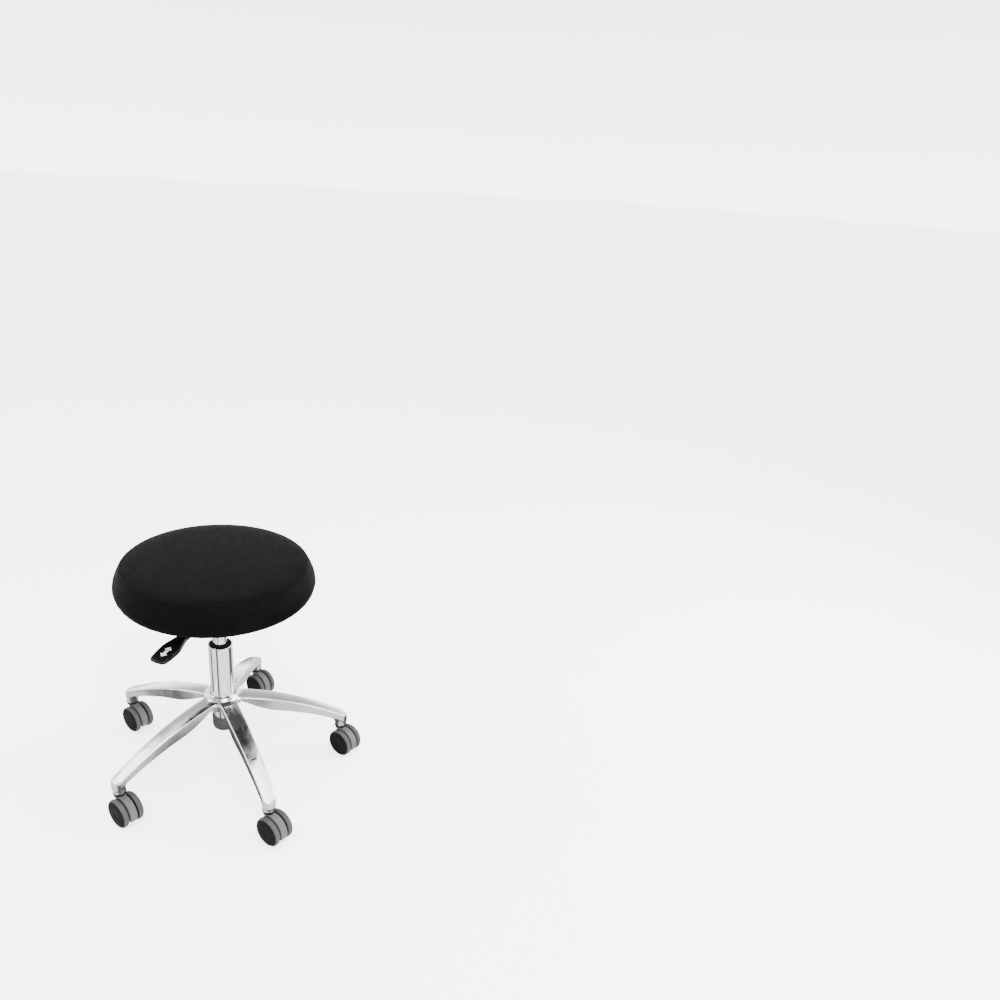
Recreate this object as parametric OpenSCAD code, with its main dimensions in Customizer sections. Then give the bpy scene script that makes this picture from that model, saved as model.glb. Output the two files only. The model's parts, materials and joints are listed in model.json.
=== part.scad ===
// Dentist stool: a round padded seat on a gas lift, over a cast five-arm base on
// twin-wheel casters. A hand lever under the seat works the gas lift.
// The origin is on the floor under the column, +Z is up and -Y is along the front arm.

/* [Seat] */
// Diameter of the seat at its widest
seat_d = 388; // [386:2:400]
// Height of the seat's top above the floor, with the lift part way up
seat_h = 492; // [486:1:500]
// Diameter of the seat's top face, inside its seam
seat_top_d = 358; // [340:2:362]
// Thickness of the covering
cover_t = 1.4; // [1:0.2:2]
// Diameter of the opening under the seat that the cover is drawn round
cover_opening_d = 308; // [300:2:320]
// Diameter of the wooden seat board
board_d = 364; // [356:2:366]
// Thickness of the wooden seat board
board_t = 12; // [10:1:14]
// Thickness of the seat from the board's underside to its top
pad_h = 64; // [62:1:68]

/* [Gas lift] */
// Outside diameter of the column's outer tube
column_d = 50; // [50:1:52]
// Height of the column's lower end
column_bottom = 92; // [90:1:96]
// Height of the column's upper rim
column_top = 300; // [290:1:302]
// Outside diameter of the sliding gas cylinder
cylinder_d = 28; // [27:0.5:29]
// Diameter of the piston rod
rod_d = 10; // [8:1:11]
// How far the seat can go down from here
lift_down = 50; // [20:1:50]
// How far the seat can go up from here
lift_up = 74; // [20:1:76]

/* [Base] */
// Radius of the circle on which the casters' stems stand
stem_circle_r = 254; // [248:1:270]
// Height of the arms' tops beside the hub
arm_root_h = 172; // [168:1:176]
// How far an arm's top drops per millimetre of reach, where it leaves the hub
arm_slope = 0.14; // [0.12:0.01:0.18]
// Height of the arms' tops over the stems
arm_tip_h = 101; // [99:1:105]
// Width of an arm beside the hub
arm_root_w = 35; // [34:1:38]
// Width of an arm at its tip
arm_tip_w = 26.5; // [26:0.5:30]
// Thickness of the cast walls
wall = 4; // [3:0.5:4.5]
// Height of the stem sockets' lower ends
socket_bottom = 67; // [66.5:0.5:69]

/* [Casters] */
// Diameter of a wheel
wheel_d = 60; // [56:1:60]
// Width of a wheel
wheel_w = 12; // [11:0.5:12.5]
// Width over both wheels
caster_w = 46; // [44:1:48]
// Distance from the stem's axis back to the wheels' axle
trail = 15; // [13:0.5:16]
// Diameter of the stem
stem_d = 11; // [10:0.5:11]
// Width of the hood between the wheels
hood_w = 15; // [13:0.5:16]
// Direction in which the wheels trail behind their stems
trail_angle = -70; // [-180:5:180]

/* [Lever] */
// Direction in which the lever points, seen from above
lever_angle = -143; // [-180:1:180]
// Distance from the column's axis to the paddle's end
lever_reach = 195; // [190:1:200]
// Greatest width of the paddle
paddle_w = 37; // [35:1:44]
// Length of the paddle
paddle_l = 96; // [90:1:100]

/* [Hidden] */
ARMS = 5;
// Play between a turning or sliding piece and what it runs in, on the radius
play = 0.06;
// Play between two pieces that stay together, on the radius
fit = 0.03;

// Casting
hub_sleeve_r = column_d / 2 + 7;
hub_rim_r = 40;
hub_sleeve_bottom = arm_root_h - 24;
hub_top = arm_root_h + 9;
web_bottom = arm_root_h - 7;
// Where the arch that lifts an arm's lower edge towards the hub begins, from the column's axis
arch_r = 112;
arm_r0 = 45;
arm_end_r = stem_circle_r + arm_tip_w / 2;
arm_curve = (arm_root_h - arm_tip_h - arm_slope * (stem_circle_r - arm_r0)) / pow(stem_circle_r - arm_r0, 2);
socket_r = 12.8;
sleeve_r = 8;
sleeve_flange_r = 13.2;
sleeve_flange_h = 3;
socket_depth = 24;

// Heights in the seat
board_bottom = seat_h - pad_h;
board_top = board_bottom + board_t;
crown_h = 4;
flat_r = 70;
seam_h = seat_h - crown_h - 2;
screw_spacing = 120;
screw_d = 8;
nut_barrel_r = 5.2;

// Mechanism
plate_t = 4;
plate_w = 176;
box_w = 62;
box_l = 96;
box_wall = 3;
box_bottom = board_bottom - plate_t - 54;
cylinder_top = box_bottom + 6;
cone_r = 19;
cone_bottom = box_bottom - 16;
lever_pin_r = 3;
lever_pin_at = 24;
lever_rod_r = 4;
lever_h = board_bottom - plate_t - 38;
lever_drop = 19;
paddle_t = 10;

// Gas lift
cylinder_bottom = column_bottom + lift_down + 21;
cylinder_wall = 1.6;
gland_l = 15;
tube_wall = 2;
bush_l = column_top - cylinder_bottom - lift_up - 1;
piston_h = cylinder_bottom + gland_l + lift_up + 10;
piston_l = 12;
rod_foot_r = 4;
race_bottom = column_bottom + 5;
race_t = 2;
ball_r = 1.75;
race_r = 14;
ball_circle_r = 9.5;
BALLS = 8;
pin_r = 3.5;

// Casters
axle_h = wheel_d / 2;
axle_r = 4;
axle_l = caster_w - 6;
tread_t = 4;
wheel_in = caster_w / 2 - wheel_w;
collar_r = 11.5;
collar_top = socket_bottom - sleeve_flange_h - 0.4;
hood_r = wheel_d / 2 - 0.6;
stem_bottom = 42;

$fn = 96;

// ---------------------------------------------------------------- base

// Direction of an arm; the first one points along -Y
function arm_angle(i) = -90 + 360 / ARMS * (i - 1);

// Height of an arm's top at a distance r from the column's axis
function arm_top(r) = arm_root_h - arm_slope * (r - arm_r0) - arm_curve * pow(r - arm_r0, 2);

// Height of an arm's side wall, which is deepest near the hub
function arm_depth(r) = 17 + 12 * pow(max(stem_circle_r - r, 0) / (stem_circle_r - 100), 1.2);

// Side outline of an arm, lowered and shortened by t for the channel under it
module arm_side(t, r_in, r_out) {
    steps = 14;
    tops = [for (i = [0:steps]) let (r = r_in + (r_out - r_in) * i / steps) [r, arm_top(r) - t]];
    lows = t > 0
        ? [[r_out, socket_bottom - 20], [r_in, socket_bottom - 20]]
        : concat(
            [for (i = [0:steps])
                let (r = r_out - (r_out - arch_r) * i / steps) [r, arm_top(r) - arm_depth(r)]],
            [[96, arm_root_h - 36.8], [80, arm_root_h - 30.5], [64, arm_root_h - 22.5],
             [50, arm_root_h - 14.5], [r_in, web_bottom]]);
    polygon(concat(tops, lows));
}

// Plan outline of an arm with its rounded end, made narrower by t on each side
module arm_plan(t) {
    polygon([
        [0, -arm_root_w / 2 + t], [100, -arm_root_w / 2 + t],
        [stem_circle_r, -arm_tip_w / 2 + t], [stem_circle_r, arm_tip_w / 2 - t],
        [100, arm_root_w / 2 - t], [0, arm_root_w / 2 - t]]);
    translate([stem_circle_r, 0])
        circle(r = arm_tip_w / 2 - t);
}

module arm_block(t, r_in, r_out) {
    intersection() {
        translate([0, 50, 0])
            rotate([90, 0, 0])
                linear_extrude(height = 100)
                    arm_side(t, r_in, r_out);
        linear_extrude(height = 250)
            arm_plan(t);
    }
}

module arm() {
    difference() {
        arm_block(0, 24, arm_end_r + 1);
        arm_block(wall, hub_rim_r - 4, stem_circle_r - socket_r + 1);
    }
    translate([stem_circle_r, 0, socket_bottom])
        cylinder(r = socket_r, h = arm_tip_h - wall - socket_bottom);
}

// Hub: a sleeve for the column, with a flared collar that runs out into the arms
module hub() {
    rotate_extrude()
        polygon([
            [column_d / 2 - 1, hub_sleeve_bottom], [hub_sleeve_r, hub_sleeve_bottom],
            [hub_sleeve_r, web_bottom + 2], [hub_rim_r - 3, web_bottom],
            [hub_rim_r, web_bottom + 2], [hub_rim_r, arm_root_h + 1],
            [35, arm_root_h + 3], [30, arm_root_h + 5.5],
            [column_d / 2 + 2.5, hub_top - 1.5], [column_d / 2 + 1.5, hub_top],
            [column_d / 2 - 1, hub_top]]);
}

module base_casting() {
    color("gainsboro")
        difference() {
            union() {
                hub();
                for (i = [1:ARMS])
                    rotate([0, 0, arm_angle(i)])
                        arm();
            }
            translate([0, 0, column_bottom])
                cylinder(r = column_d / 2 + fit, h = hub_top);
            for (i = [1:ARMS])
                rotate([0, 0, arm_angle(i)])
                    translate([stem_circle_r, 0, socket_bottom - 1])
                        cylinder(r = sleeve_r + fit, h = socket_depth + 1.5);
        }
}

// Puts its children at the foot of stem i, with the wheels trailing along +X
module at_caster(i) {
    rotate([0, 0, arm_angle(i)])
        translate([stem_circle_r, 0, 0])
            rotate([0, 0, trail_angle - arm_angle(i)])
                children();
}

// Plastic sleeves that line the sockets; each has a flange under its socket
module socket_sleeves() {
    color("#1c1c1e")
        for (i = [1:ARMS])
            at_caster(i)
                difference() {
                    union() {
                        translate([0, 0, socket_bottom - 0.5])
                            cylinder(r = sleeve_r, h = socket_depth);
                        translate([0, 0, socket_bottom - sleeve_flange_h])
                            cylinder(r = sleeve_flange_r, h = sleeve_flange_h - 0.05);
                    }
                    translate([0, 0, socket_bottom - sleeve_flange_h - 1])
                        cylinder(r = stem_d / 2 + fit, h = socket_depth + 10);
                }
}

// Spring rings in the stems' grooves; each holds its stem in its sleeve
module grip_rings() {
    color("silver")
        for (i = [1:ARMS])
            at_caster(i)
                translate([0, 0, socket_bottom + 14.3])
                    difference() {
                        cylinder(r = stem_d / 2, h = 3.4);
                        translate([0, 0, -1])
                            cylinder(r = stem_d / 2 - 1 + fit, h = 6);
                        translate([0, -1, -1])
                            cube([stem_d, 2, 6]);
                    }
}

// ---------------------------------------------------------------- casters

module stem() {
    color("silver")
        rotate_extrude()
            polygon([
                [0, stem_bottom], [stem_d / 2 - 0.8, stem_bottom],
                [stem_d / 2, stem_bottom + 0.8], [stem_d / 2, socket_bottom + 14],
                [stem_d / 2 - 1, socket_bottom + 14], [stem_d / 2 - 1, socket_bottom + 18],
                [stem_d / 2, socket_bottom + 18], [stem_d / 2, socket_bottom + 21],
                [stem_d / 2 - 1.5, socket_bottom + 22.5], [0, socket_bottom + 22.5]]);
}

// Hood between the wheels, with the boss that turns on the stem
module housing() {
    color("#a9a9ab")
        difference() {
            union() {
                intersection() {
                    translate([trail, hood_w / 2, axle_h])
                        rotate([90, 0, 0])
                            cylinder(r = hood_r, h = hood_w);
                    translate([-wheel_d / 2, -hood_w, axle_h - 13])
                        cube([wheel_d * 2, hood_w * 2, wheel_d]);
                }
                translate([0, 0, axle_h + 6])
                    cylinder(r = 8.6, h = collar_top - axle_h - 7);
                translate([0, 0, collar_top - 5])
                    cylinder(r = collar_r, h = 5);
                translate([trail, wheel_in - 0.4, axle_h])
                    rotate([90, 0, 0])
                        cylinder(r = 9, h = 2 * wheel_in - 0.8);
            }
            translate([0, 0, stem_bottom - 1])
                cylinder(r = stem_d / 2 + play, h = wheel_d);
            translate([trail, caster_w / 2, axle_h])
                rotate([90, 0, 0])
                    cylinder(r = axle_r + fit, h = caster_w);
            translate([-wheel_d, -hood_w, 0])
                cube([wheel_d - 9.5, hood_w * 2, axle_h + 8]);
        }
}

module axle() {
    color("silver")
        translate([trail, axle_l / 2, axle_h])
            rotate([90, 0, 0])
                cylinder(r = axle_r, h = axle_l);
}

// Turns a profile of (radius, distance from the caster's middle) about the axle;
// side is 1 for the left wheel and -1 for the right one
module about_axle(side) {
    translate([trail, 0, axle_h])
        rotate([side > 0 ? -90 : 90, 0, 0])
            rotate_extrude()
                children();
}

// Dark nylon wheel: hub, web, rim and a closed outer face
module wheel(side) {
    out = caster_w / 2;
    rim_r = wheel_d / 2 - tread_t;
    color("#232325")
        about_axle(side)
            polygon([
                [axle_r + play, wheel_in + 0.2], [9, wheel_in + 0.2], [9, out - 4.5],
                [rim_r - 3, out - 4.5], [rim_r - 3, wheel_in], [rim_r, wheel_in],
                [rim_r, out - 1.6], [rim_r + 1.6, out - 0.8], [rim_r + 0.6, out - 0.2],
                [12, out], [0, out], [0, out - 2.5], [axle_r + play, out - 2.5]]);
}

// Soft grey tyre
module tread(side) {
    out = caster_w / 2 - 1.7;
    inner = wheel_in + 0.4;
    rim_r = wheel_d / 2 - tread_t + fit;
    color("#a4a4a6")
        about_axle(side)
            polygon([
                [rim_r, inner], [wheel_d / 2 - 1.2, inner], [wheel_d / 2, inner + 1.2],
                [wheel_d / 2, out - 1.2], [wheel_d / 2 - 1.2, out], [rim_r, out]]);
}

// ---------------------------------------------------------------- gas lift

module outer_tube() {
    r = column_d / 2;
    b = column_bottom;
    color("lightgray")
        rotate_extrude()
            polygon([
                [rod_foot_r + 2, b], [r - 6, b], [r - 2.6, b + 1.2], [r - 0.8, b + 3.6],
                [r, b + 7], [r, column_top - 1], [r - 1, column_top],
                [r - tube_wall, column_top], [r - tube_wall, b + 8],
                [r - tube_wall - 2, b + 4.5], [rod_foot_r + 2, b + 4.5]]);
}

// Long plastic bush in the tube's upper end, in which the gas cylinder slides
module guide_bush() {
    r = column_d / 2 - tube_wall - fit;
    inner = cylinder_d / 2 + play;
    color("#202022")
        rotate_extrude()
            polygon([
                [inner, column_top - bush_l], [r, column_top - bush_l],
                [r, column_top - 1.5], [r - 1.5, column_top - 0.4],
                [inner + 3, column_top - 0.4], [inner + 2, column_top + 1.6],
                [inner + 0.8, column_top + 1.6], [inner, column_top + 0.6]]);
}

// One race of the thrust bearing at the column's foot
module race(z, bore_r, r) {
    color("silver")
        translate([0, 0, z])
            difference() {
                cylinder(r = r, h = race_t);
                translate([0, 0, -1])
                    cylinder(r = bore_r, h = race_t + 2);
            }
}

module bearing_lower_race() {
    race(race_bottom - 0.4, rod_foot_r + 1, race_r);
}

module bearing_upper_race() {
    race(race_bottom + race_t + 2 * ball_r, rod_foot_r + fit, race_r);
}

module bearing_balls() {
    color("silver")
        for (i = [1:BALLS])
            rotate([0, 0, i * 360 / BALLS])
                translate([ball_circle_r, 0, race_bottom + race_t + ball_r - 0.2])
                    sphere(r = ball_r, $fn = 32);
}

module piston_rod() {
    shoulder = race_bottom + 2 * race_t + 2 * ball_r + 0.1;
    color("silver")
        rotate_extrude()
            polygon([
                [0, column_bottom - 3.5], [rod_foot_r - 0.5, column_bottom - 3.5],
                [rod_foot_r, column_bottom - 3], [rod_foot_r, column_bottom - 2.2],
                [rod_foot_r - 0.8, column_bottom - 2.2], [rod_foot_r - 0.8, column_bottom - 1],
                [rod_foot_r, column_bottom - 1], [rod_foot_r, shoulder],
                [rod_d / 2, shoulder], [rod_d / 2, piston_h - 1], [rod_foot_r, piston_h - 1],
                [rod_foot_r, piston_h + piston_l + 1], [0, piston_h + piston_l + 1]]);
}

module piston() {
    r = cylinder_d / 2 - cylinder_wall - play;
    color("#4a4a4c")
        translate([0, 0, piston_h])
            rotate_extrude()
                polygon([
                    [rod_foot_r + fit, 0], [r - 0.6, 0], [r, 0.6], [r, 4], [r - 1.4, 4],
                    [r - 1.4, 7], [r, 7], [r, piston_l - 0.6], [r - 0.6, piston_l],
                    [rod_foot_r + fit, piston_l]]);
}

// Spring clip under the column that keeps the rod in it
module rod_clip() {
    color("silver")
        translate([0, 0, column_bottom - 2.1])
            difference() {
                cylinder(r = 8, h = 1);
                translate([0, 0, -1])
                    cylinder(r = rod_foot_r - 0.8 + fit, h = 3);
                translate([0, -1.5, -1])
                    cube([9, 3, 3]);
            }
}

module gas_cylinder() {
    r = cylinder_d / 2;
    bore_r = r - cylinder_wall;
    color("lightgray")
        rotate_extrude()
            polygon([
                [bore_r, cylinder_bottom], [r - 0.6, cylinder_bottom],
                [r, cylinder_bottom + 0.6], [r, cylinder_top - 1], [r - 1, cylinder_top],
                [pin_r + play, cylinder_top], [pin_r + play, cylinder_top - 8],
                [bore_r, cylinder_top - 8]]);
}

// Seal and rod guide in the gas cylinder's lower end
module cylinder_gland() {
    color("#2a2a2c")
        translate([0, 0, cylinder_bottom + 0.5])
            difference() {
                cylinder(r = cylinder_d / 2 - cylinder_wall - fit, h = gland_l);
                translate([0, 0, -1])
                    cylinder(r = rod_d / 2 + play, h = gland_l + 2);
            }
}

// Button on the gas cylinder that opens its valve
module release_pin() {
    color("silver")
        translate([0, 0, cylinder_top - 6])
            cylinder(r = pin_r, h = lever_h - lever_rod_r - 0.7 - cylinder_top + 6);
}

// ---------------------------------------------------------------- mechanism

// Steel plate with a box for the lever and a socket for the gas cylinder
module seat_plate() {
    color("#2b2b2d")
        rotate([0, 0, lever_angle])
            difference() {
                union() {
                    translate([-plate_w / 2, -plate_w / 2, board_bottom - plate_t])
                        cube([plate_w, plate_w, plate_t - 0.05]);
                    translate([-box_l / 2, -box_w / 2, box_bottom])
                        cube([box_l, box_w, board_bottom - plate_t - box_bottom + 1]);
                    translate([0, 0, cone_bottom])
                        cylinder(r = cone_r, h = box_bottom - cone_bottom + 1);
                }
                translate([-box_l / 2 + box_wall, -box_w / 2 + box_wall, box_bottom + box_wall])
                    cube([box_l - 2 * box_wall, box_w - 2 * box_wall,
                          board_bottom - plate_t - box_bottom - box_wall]);
                translate([0, 0, cone_bottom - 1])
                    cylinder(r = cylinder_d / 2 + fit, h = box_bottom - cone_bottom + 10);
                translate([box_l / 2 - 6, -7, lever_h - 13])
                    cube([12, 14, 21]);
                translate([lever_pin_at, box_w, lever_h])
                    rotate([90, 0, 0])
                        cylinder(r = lever_pin_r + fit, h = 2 * box_w);
                screw_places()
                    cylinder(r = screw_d / 2 + 0.4, h = board_bottom);
            }
}

// Puts its children on the four screws' axes
module screw_places() {
    for (x = [-1, 1], y = [-1, 1])
        translate([x * screw_spacing / 2, y * screw_spacing / 2, 0])
            children();
}

module plate_screws() {
    color("silver")
        rotate([0, 0, lever_angle])
            screw_places() {
                translate([0, 0, board_bottom - plate_t - 5.05])
                    difference() {
                        cylinder(r = 6.5, h = 5);
                        translate([0, 0, -1])
                            cylinder(r = 2.9, h = 3.5, $fn = 6);
                    }
                translate([0, 0, board_bottom - plate_t - 1])
                    cylinder(r = screw_d / 2, h = board_t + plate_t - 1);
            }
}

module tee_nuts() {
    color("silver")
        rotate([0, 0, lever_angle])
            screw_places()
                difference() {
                    union() {
                        translate([0, 0, board_bottom + 3])
                            cylinder(r = nut_barrel_r, h = board_t - 3);
                        translate([0, 0, board_top + 0.05])
                            cylinder(r = 10, h = 1.4);
                        translate([0, 0, board_top - 0.5])
                            cylinder(r = nut_barrel_r, h = 1);
                    }
                    translate([0, 0, board_bottom])
                        cylinder(r = screw_d / 2 + fit, h = pad_h);
                }
}

module lever_pin() {
    color("silver")
        rotate([0, 0, lever_angle])
            translate([lever_pin_at, box_w / 2 + 1, lever_h])
                rotate([90, 0, 0])
                    cylinder(r = lever_pin_r, h = box_w + 2);
}

// Angle at which the lever slopes down outside the box
function lever_slope() = atan(lever_drop / (lever_reach - lever_pin_at));

module lever_rod() {
    rod_l = lever_reach - lever_pin_at - 40;
    color("#2b2b2d")
        rotate([0, 0, lever_angle])
            difference() {
                union() {
                    translate([-6, 0, lever_h])
                        rotate([0, 90, 0])
                            cylinder(r = lever_rod_r, h = lever_pin_at + 4);
                    translate([lever_pin_at, 5.5, lever_h])
                        rotate([90, 0, 0])
                            cylinder(r = 7, h = 11);
                    translate([lever_pin_at, 0, lever_h])
                        rotate([0, 90 + lever_slope(), 0])
                            cylinder(r = lever_rod_r, h = rod_l);
                }
                translate([lever_pin_at, 10, lever_h])
                    rotate([90, 0, 0])
                        cylinder(r = lever_pin_r + play, h = 20);
            }
}

// Plan outline of the paddle: a narrow neck that widens to a blunt rounded end
module paddle_plan() {
    half = paddle_w / 2;
    intersection() {
        polygon([
            [0, -9], [22, -12], [48, -half], [paddle_l, -half + 4],
            [paddle_l, half - 4], [48, half], [22, 12], [0, 9]]);
        translate([paddle_l - 62, 0])
            circle(r = 62);
    }
}

module lever_paddle() {
    side = [
        [0, -5.5], [20, -paddle_t / 2], [paddle_l - 6, -paddle_t / 2 + 1], [paddle_l + 1, -2],
        [paddle_l + 1, 1], [paddle_l - 8, paddle_t / 2 - 1], [20, paddle_t / 2], [0, 5.5]];
    color("#121213")
        rotate([0, 0, lever_angle])
            translate([lever_pin_at, 0, lever_h])
                rotate([0, lever_slope(), 0])
                    translate([lever_reach - lever_pin_at - paddle_l, 0, 0])
                        difference() {
                            intersection() {
                                translate([0, 0, -paddle_t])
                                    linear_extrude(height = 2 * paddle_t)
                                        paddle_plan();
                                translate([0, paddle_w, 0])
                                    rotate([90, 0, 0])
                                        linear_extrude(height = 2 * paddle_w)
                                            polygon(side);
                            }
                            translate([-1, 0, 0])
                                rotate([0, 90, 0])
                                    cylinder(r = lever_rod_r + fit, h = paddle_l - 38);
                        }
}

// ---------------------------------------------------------------- seat

module seat_board() {
    color("#2a2724")
        difference() {
            translate([0, 0, board_bottom])
                cylinder(d = board_d, h = board_t);
            rotate([0, 0, lever_angle])
                screw_places()
                    cylinder(r = nut_barrel_r + fit, h = seat_h);
        }
}

// Half of the seat's upright outline, from the middle of its top to its underside,
// moved inward by t
function seat_outline(t) = [
    [0, seat_h - t],
    [flat_r, seat_h - t],
    [seat_top_d * 0.35, seat_h - 1 - t],
    [seat_top_d / 2 - 10, seat_h - crown_h + 1 - t],
    [seat_top_d / 2 - t * 0.6, seam_h - t],
    [seat_d / 2 - 6 - t, seat_h - 21],
    [seat_d / 2 - 1.5 - t, seat_h - 31],
    [seat_d / 2 - t, seat_h - 42],
    [seat_d / 2 - 1.5 - t, seat_h - 53],
    [board_d / 2 + 4.4 - t, board_bottom - 0.6 + t * 1.2]];

module cushion_foam() {
    color("khaki")
        rotate_extrude()
            polygon(concat(seat_outline(cover_t + 0.1),
                           [[board_d / 2 + 0.1, board_bottom + 2],
                            [board_d / 2 + 0.1, board_top + 1.6], [0, board_top + 1.6]]));
}

module seat_cover() {
    lip = cover_opening_d / 2;
    color("#161617")
        rotate_extrude()
            difference() {
                polygon(concat(seat_outline(0),
                               [[board_d / 2 - 4, board_bottom - cover_t - 0.1],
                                [lip, board_bottom - cover_t - 0.1], [lip, board_bottom - 0.1],
                                [0, board_bottom - 0.1]]));
                polygon(concat(seat_outline(cover_t),
                               [[board_d / 2 + 0.3, board_bottom - 0.1],
                                [0, board_bottom - 0.1], [0, board_bottom - 1]]));
            }
}

// Cord drawn tight in the cover's hem, under the board
module cover_drawcord() {
    color("#303032")
        translate([0, 0, board_bottom - 2.2])
            rotate_extrude()
                translate([cover_opening_d / 2 - 2.4, 0])
                    circle(r = 2, $fn = 32);
}

// ---------------------------------------------------------------- nodes

base_casting();
socket_sleeves();
grip_rings();
outer_tube();
guide_bush();
bearing_lower_race();
bearing_balls();
bearing_upper_race();
piston_rod();
piston();
rod_clip();
gas_cylinder();
cylinder_gland();
release_pin();
seat_plate();
lever_rod();
lever_paddle();
lever_pin();
seat_board();
plate_screws();
tee_nuts();
cushion_foam();
seat_cover();
cover_drawcord();
for (i = [1:ARMS]) {
    at_caster(i) stem();
    at_caster(i) housing();
    at_caster(i) axle();
    at_caster(i) wheel(1);
    at_caster(i) wheel(-1);
    at_caster(i) tread(1);
    at_caster(i) tread(-1);
}
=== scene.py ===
import json
import math

import bmesh
import bpy
import numpy as np
from mathutils import Matrix, Vector
from mathutils.bvhtree import BVHTree


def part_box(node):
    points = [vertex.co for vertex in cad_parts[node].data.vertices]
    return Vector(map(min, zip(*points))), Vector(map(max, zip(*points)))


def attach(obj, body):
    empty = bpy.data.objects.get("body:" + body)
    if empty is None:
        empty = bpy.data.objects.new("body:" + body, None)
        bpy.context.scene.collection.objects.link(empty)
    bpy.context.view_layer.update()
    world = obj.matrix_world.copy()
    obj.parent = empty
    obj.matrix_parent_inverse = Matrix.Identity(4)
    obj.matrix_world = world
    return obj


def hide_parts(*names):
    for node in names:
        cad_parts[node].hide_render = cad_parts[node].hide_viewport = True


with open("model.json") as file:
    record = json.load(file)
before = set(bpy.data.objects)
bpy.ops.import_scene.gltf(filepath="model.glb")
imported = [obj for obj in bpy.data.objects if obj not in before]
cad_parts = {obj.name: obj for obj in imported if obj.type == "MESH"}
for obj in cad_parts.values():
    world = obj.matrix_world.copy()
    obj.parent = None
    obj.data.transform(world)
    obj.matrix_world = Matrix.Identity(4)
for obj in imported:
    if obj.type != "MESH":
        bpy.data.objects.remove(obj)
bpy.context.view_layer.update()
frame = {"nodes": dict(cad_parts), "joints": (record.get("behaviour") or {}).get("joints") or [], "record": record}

MM = 0.001

# ------------------------------------------------------------ places, from the frame

joints = {j["name"]: j for j in frame["joints"]}
CASTERS = [f"caster_{i}" for i in range(1, 6)]


def size(node, axis):
    """How long a CAD node is along an axis, in millimetres."""
    low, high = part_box(node)
    return (high[axis] - low[axis]) / MM


def low(node, axis=2):
    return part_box(node)[0][axis] / MM


def high(node, axis=2):
    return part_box(node)[1][axis] / MM


COLUMN_R = size("outer_tube", 0) / 2
CYLINDER_R = size("gas_cylinder", 0) / 2
STEM_CIRCLE = Vector(joints["caster_1_swivel"]["pos_m"]).to_2d().length / MM
WHEEL_R = size("caster_1_tread_left", 2) / 2
AXLE_H = joints["caster_1_left_roll"]["pos_m"][2] / MM
ROLL_AXIS = joints["caster_1_left_roll"]["axis"]
TRAIL_ANGLE = math.atan2(-ROLL_AXIS[0], ROLL_AXIS[1])
TRAIL = (Vector(joints["caster_1_left_roll"]["pos_m"])
         - Vector(joints["caster_1_swivel"]["pos_m"])).to_2d().length / MM
SEAT_TOP = high("seat_cover")
SEAT_R = size("seat_cover", 0) / 2
PULL_AXIS = joints["lever_pull"]["axis"]
LEVER_ANGLE = math.atan2(PULL_AXIS[0], -PULL_AXIS[1])

# ------------------------------------------------------------ camera and lights

# The camera stands at this distance from the origin, looks at it, and is then turned
# sideways, up and round by the last three angles, which puts the stool low and left.
CAMERA_DISTANCE = 1.8068
CAMERA_AZIMUTH, CAMERA_ELEVATION = -16.9, 40.34
CAMERA_YAW, CAMERA_PITCH, CAMERA_ROLL = 13.37, -11.85, 6.14
CAMERA_LENS = 27.82
CAMERA_SHIFT = (0.104, 0.076)

# How bright the room is from straight down, 0, through the horizon, 0.5, to straight up, 1.
# It is darkest behind the stool at the height that the seat and the arms' tops mirror.
SKY = [(0.0, 1.0), (0.5, 1.0), (0.6, 0.75), (0.68, 0.26), (0.86, 0.11), (0.93, 0.7), (1.0, 1.5)]
ROOM_STRENGTH = 5.6

# Each light: its name, its place, what it points at, its width, height and power.
LIGHTS = [("key", (-0.3, -1.8, 2.4), (0, 0, 0.25), 1.4, 1.4, 110),
          ("fill", (2.0, -0.6, 1.7), (0, 0, 0.25), 1.0, 1.6, 80),
          ("back", (-1.9, 1.3, 2.2), (0, 0, 0.3), 1.8, 1.0, 40)]

FLOOR_SIZE, FLOOR_SHADE, FLOOR_GLOW = 120, 0.93, 2.2

# Sectors that lie on the floor, only for metal to mirror: from a near to a far radius, either side
# of a middle angle by a spread, with a shade. The wide one keeps the arms darker than the floor,
# the others make the dark streaks on the column.
CARDS = [("card_wide", 0.0, 4.0, 0, 180, 0.42, 0.0004),
         ("card_middle", 0.0, 0.19, 0, 180, 0.02, 0.0008),
         ("card_narrow", 0.19, 1.2, -142, 8, 0.01, 0.0008),
         ("card_left", 0.19, 1.2, 158, 10, 0.04, 0.0008),
         ("card_right", 0.19, 1.2, -11, 20, 0.01, 0.0008),
         ("card_back", 0.19, 1.2, 75, 12, 0.02, 0.0008)]


def make_camera():
    a, e = math.radians(CAMERA_AZIMUTH), math.radians(CAMERA_ELEVATION)
    back = Vector((math.sin(a) * math.cos(e), -math.cos(a) * math.cos(e), math.sin(e)))
    right = Vector((math.cos(a), math.sin(a), 0))
    up = back.cross(right)
    turn = Matrix((right, up, back)).transposed()
    for angle, axis in ((CAMERA_YAW, "Y"), (CAMERA_PITCH, "X"), (CAMERA_ROLL, "Z")):
        turn = turn @ Matrix.Rotation(-math.radians(angle), 3, axis)
    data = bpy.data.cameras.new("camera")
    data.lens = CAMERA_LENS
    data.shift_x, data.shift_y = CAMERA_SHIFT
    camera = bpy.data.objects.new("camera", data)
    camera.matrix_world = Matrix.Translation(back * CAMERA_DISTANCE) @ turn.to_4x4()
    bpy.context.scene.collection.objects.link(camera)
    bpy.context.scene.camera = camera


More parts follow.
